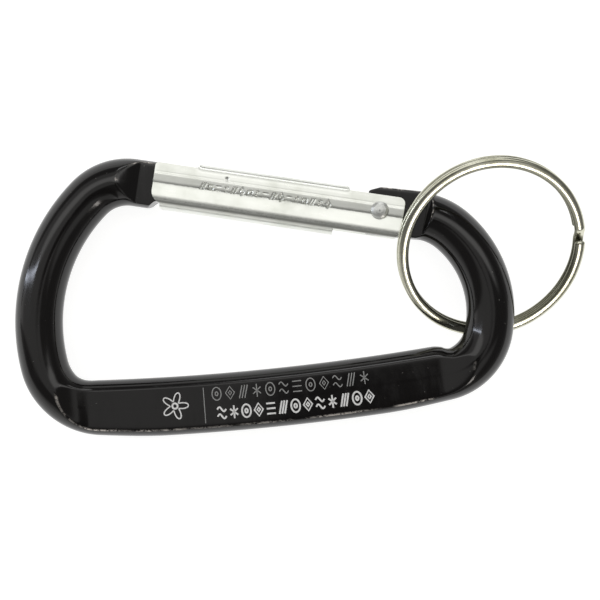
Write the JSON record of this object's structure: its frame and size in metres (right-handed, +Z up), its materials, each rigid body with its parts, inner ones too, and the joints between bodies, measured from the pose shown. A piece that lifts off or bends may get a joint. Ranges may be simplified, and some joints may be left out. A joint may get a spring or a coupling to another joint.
{
  "type": "carabiner keyring",
  "caption": "Snap-hook key ring: a bent rod hook with a flattened spine, a sprung folded-sheet gate on a rivet, and a split key ring threaded through the hook.",
  "frame": {"origin": "on the table, under the middle of the whole object's bounding box as it lies on its side", "axes": "+X along the spine from the nose end to the hinge end, +Y from the spine towards the gate, +Z up from the table through the printed face"},
  "size_m": [0.0924, 0.0454, 0.0147],
  "materials": {
    "black_hook": "gloss black coating over aluminium rod",
    "gate_sheet": "bright satin sheet with stamped marks",
    "rivet_metal": "satin, turned dome",
    "spring_steel": "drawn wire",
    "ring_nickel": "nickel plate over steel wire"
  },
  "bodies": {
    "hook": {"hook_body": "black_hook"},
    "gate": {"gate": "gate_sheet", "hinge_rivet": "rivet_metal", "gate_spring": "spring_steel"},
    "plunger": {"spring_plunger": "spring_steel"},
    "ring": {"split_ring": "ring_nickel"}
  },
  "joints": [
    {"name": "gate_hinge", "type": "hinge", "parent": "hook", "child": "gate", "pos_m": [0.01406, 0.00985, 0.00592], "axis": [-0.0375, 0, 0.9993], "range_deg": [0, 45], "stiffness_Nm_per_rad": 0.05, "springref_deg": -28.65},
    {"name": "plunger_slide", "type": "slide", "parent": "gate", "child": "plunger", "axis": [-0.9675, 0.2504, -0.0363], "range_m": [0, 0.0025], "deforming": ["gate_spring"]},
    {"name": "ring_swing", "type": "hinge", "parent": "hook", "child": "ring", "pos_m": [0.0263, -0.0099, 0.00209], "axis": [0.937, -0.2734, -0.2176], "range_deg": [0, 120]}
  ],
  "couplings": [
    {"joint": "plunger_slide", "follows": "gate_hinge", "m_per_rad": 0.003094}
  ]
}
